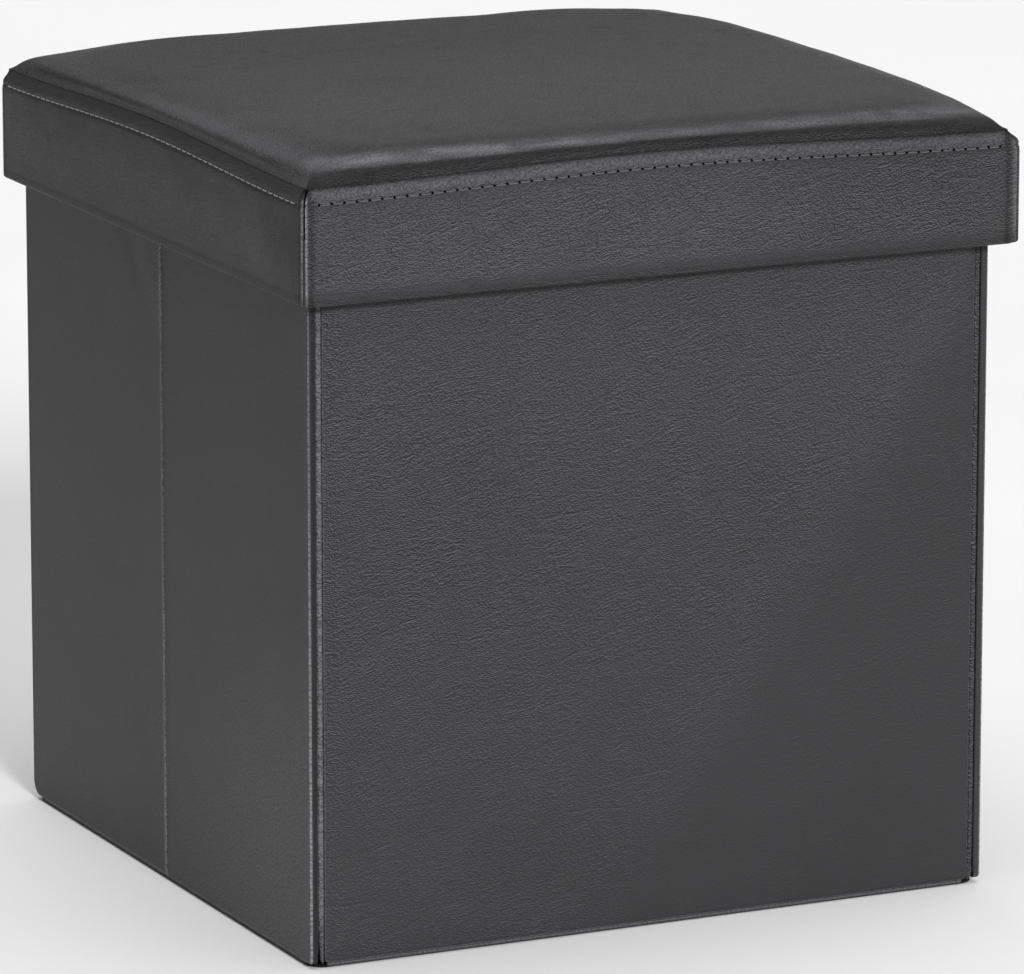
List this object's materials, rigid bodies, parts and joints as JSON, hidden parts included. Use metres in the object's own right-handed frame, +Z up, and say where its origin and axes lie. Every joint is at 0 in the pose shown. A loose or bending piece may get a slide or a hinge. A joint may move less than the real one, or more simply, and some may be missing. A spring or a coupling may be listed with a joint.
{
  "type": "storage ottoman",
  "caption": "Folding cube storage ottoman in dark leathercloth, with a lift-off padded lid, creased side walls that fold inward and a hinged base board.",
  "frame": {"origin": "middle of the footprint, on the floor", "axes": "+Z up; -Y towards the front wall, which is one flat panel; the creased side walls are at -X and +X, and the base board is hinged to the back wall at +Y"},
  "size_m": [0.381, 0.381, 0.398],
  "materials": {
    "leathercloth": "satin pebble grain",
    "fibreboard": "matt",
    "hardboard": "matt",
    "lining_cloth": "matt nonwoven",
    "ribbon": "woven grosgrain",
    "foam": "open-cell foam"
  },
  "bodies": {
    "root": {"back_board": "fibreboard", "back_cover": "leathercloth", "back_lining": "lining_cloth", "back_left_welt": "leathercloth", "back_right_welt": "leathercloth", "bottom_cloth": "lining_cloth", "bottom_hem_front": "leathercloth", "bottom_hem_back": "leathercloth", "bottom_hem_left": "leathercloth", "bottom_hem_right": "leathercloth", "base_hinge_tape": "lining_cloth"},
    "base": {"base_board": "hardboard", "base_cover": "lining_cloth", "base_ribbon": "ribbon"},
    "front": {"front_board": "fibreboard", "front_cover": "leathercloth", "front_lining": "lining_cloth", "front_left_welt": "leathercloth", "front_right_welt": "leathercloth"},
    "left_rear": {"left_rear_board": "fibreboard", "left_rear_cover": "leathercloth", "left_rear_lining": "lining_cloth"},
    "left_front": {"left_front_board": "fibreboard", "left_front_cover": "leathercloth", "left_front_lining": "lining_cloth"},
    "right_rear": {"right_rear_board": "fibreboard", "right_rear_cover": "leathercloth", "right_rear_lining": "lining_cloth"},
    "right_front": {"right_front_board": "fibreboard", "right_front_cover": "leathercloth", "right_front_lining": "lining_cloth"},
    "lid": {"lid_board": "fibreboard", "lid_lining": "lining_cloth", "lid_rim_front": "fibreboard", "lid_rim_right": "fibreboard", "lid_rim_back": "fibreboard", "lid_rim_left": "fibreboard", "lid_foam": "foam", "lid_top_cover": "leathercloth", "lid_skirt_front": "leathercloth", "lid_skirt_right": "leathercloth", "lid_skirt_back": "leathercloth", "lid_skirt_left": "leathercloth"}
  },
  "joints": [
    {"name": "lid_lift", "type": "slide", "parent": "root", "child": "lid", "axis": [0, 0, 1], "range_m": [0, 0.15]},
    {"name": "base_flap", "type": "hinge", "parent": "root", "child": "base", "pos_m": [0, 0.1738, 0.0022], "axis": [-1, 0, 0], "range_deg": [0, 90]},
    {"name": "fold", "type": "hinge", "parent": "root", "child": "left_rear", "pos_m": [-0.1785, 0.1719, 0.176], "axis": [0, 0, 1], "range_deg": [0, 90]},
    {"name": "left_crease", "type": "hinge", "parent": "left_rear", "child": "left_front", "pos_m": [-0.183, -0.0008, 0.176], "axis": [0, 0, 1], "range_deg": [-180, 0]},
    {"name": "left_front_corner", "type": "hinge", "parent": "left_front", "child": "front", "pos_m": [-0.1785, -0.1735, 0.176], "axis": [0, 0, 1], "range_deg": [0, 90]},
    {"name": "right_rear_corner", "type": "hinge", "parent": "root", "child": "right_rear", "pos_m": [0.1785, 0.1719, 0.176], "axis": [0, 0, 1], "range_deg": [-90, 0]},
    {"name": "right_crease", "type": "hinge", "parent": "right_rear", "child": "right_front", "pos_m": [0.183, -0.0008, 0.176], "axis": [0, 0, 1], "range_deg": [0, 180]}
  ],
  "couplings": [
    {"joint": "left_crease", "follows": "fold", "ratio": -2},
    {"joint": "left_front_corner", "follows": "fold", "ratio": 1},
    {"joint": "right_rear_corner", "follows": "fold", "ratio": -1},
    {"joint": "right_crease", "follows": "fold", "ratio": 2}
  ]
}
